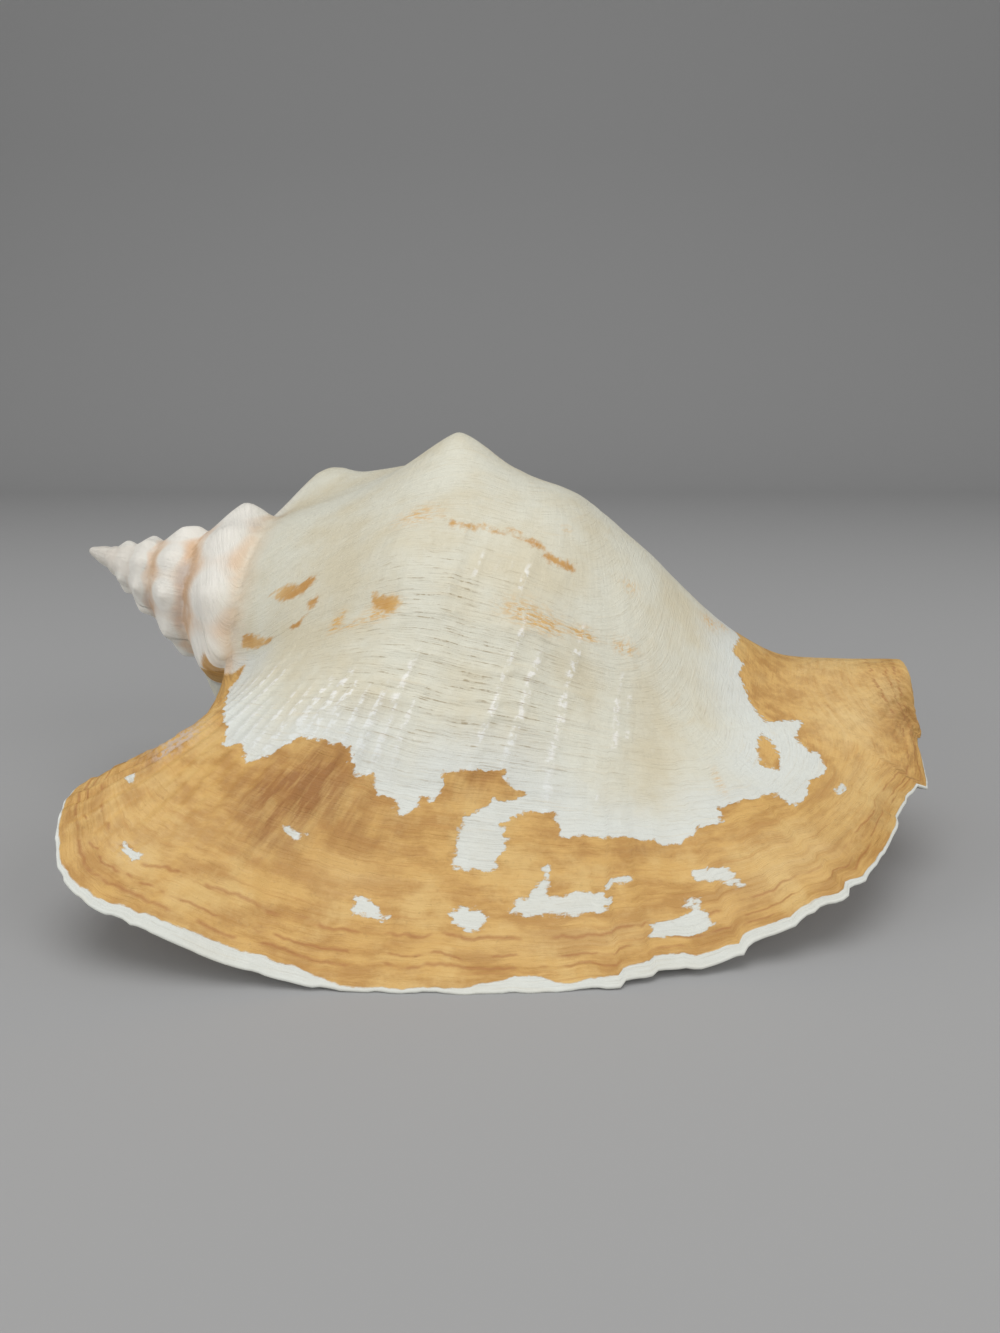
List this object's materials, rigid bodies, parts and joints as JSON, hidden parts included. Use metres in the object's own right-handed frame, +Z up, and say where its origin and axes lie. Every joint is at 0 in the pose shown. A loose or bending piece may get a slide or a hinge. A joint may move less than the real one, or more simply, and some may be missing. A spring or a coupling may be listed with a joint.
{
  "type": "conch shell",
  "caption": "Large spiral sea shell with a pointed spire, shoulder knobs, a broad flared lip and a long aperture, lying on its opening.",
  "frame": {"origin": "middle of the box on the surface that the shell lies on", "axes": "+X from the spire to the siphonal canal, +Y away from the flared lip, +Z up through the back of the last whorl"},
  "size_m": [0.2243, 0.1512, 0.1016],
  "materials": {
    "shell": "satin"
  },
  "bodies": {
    "root": {"shell": "shell"}
  },
  "joints": []
}
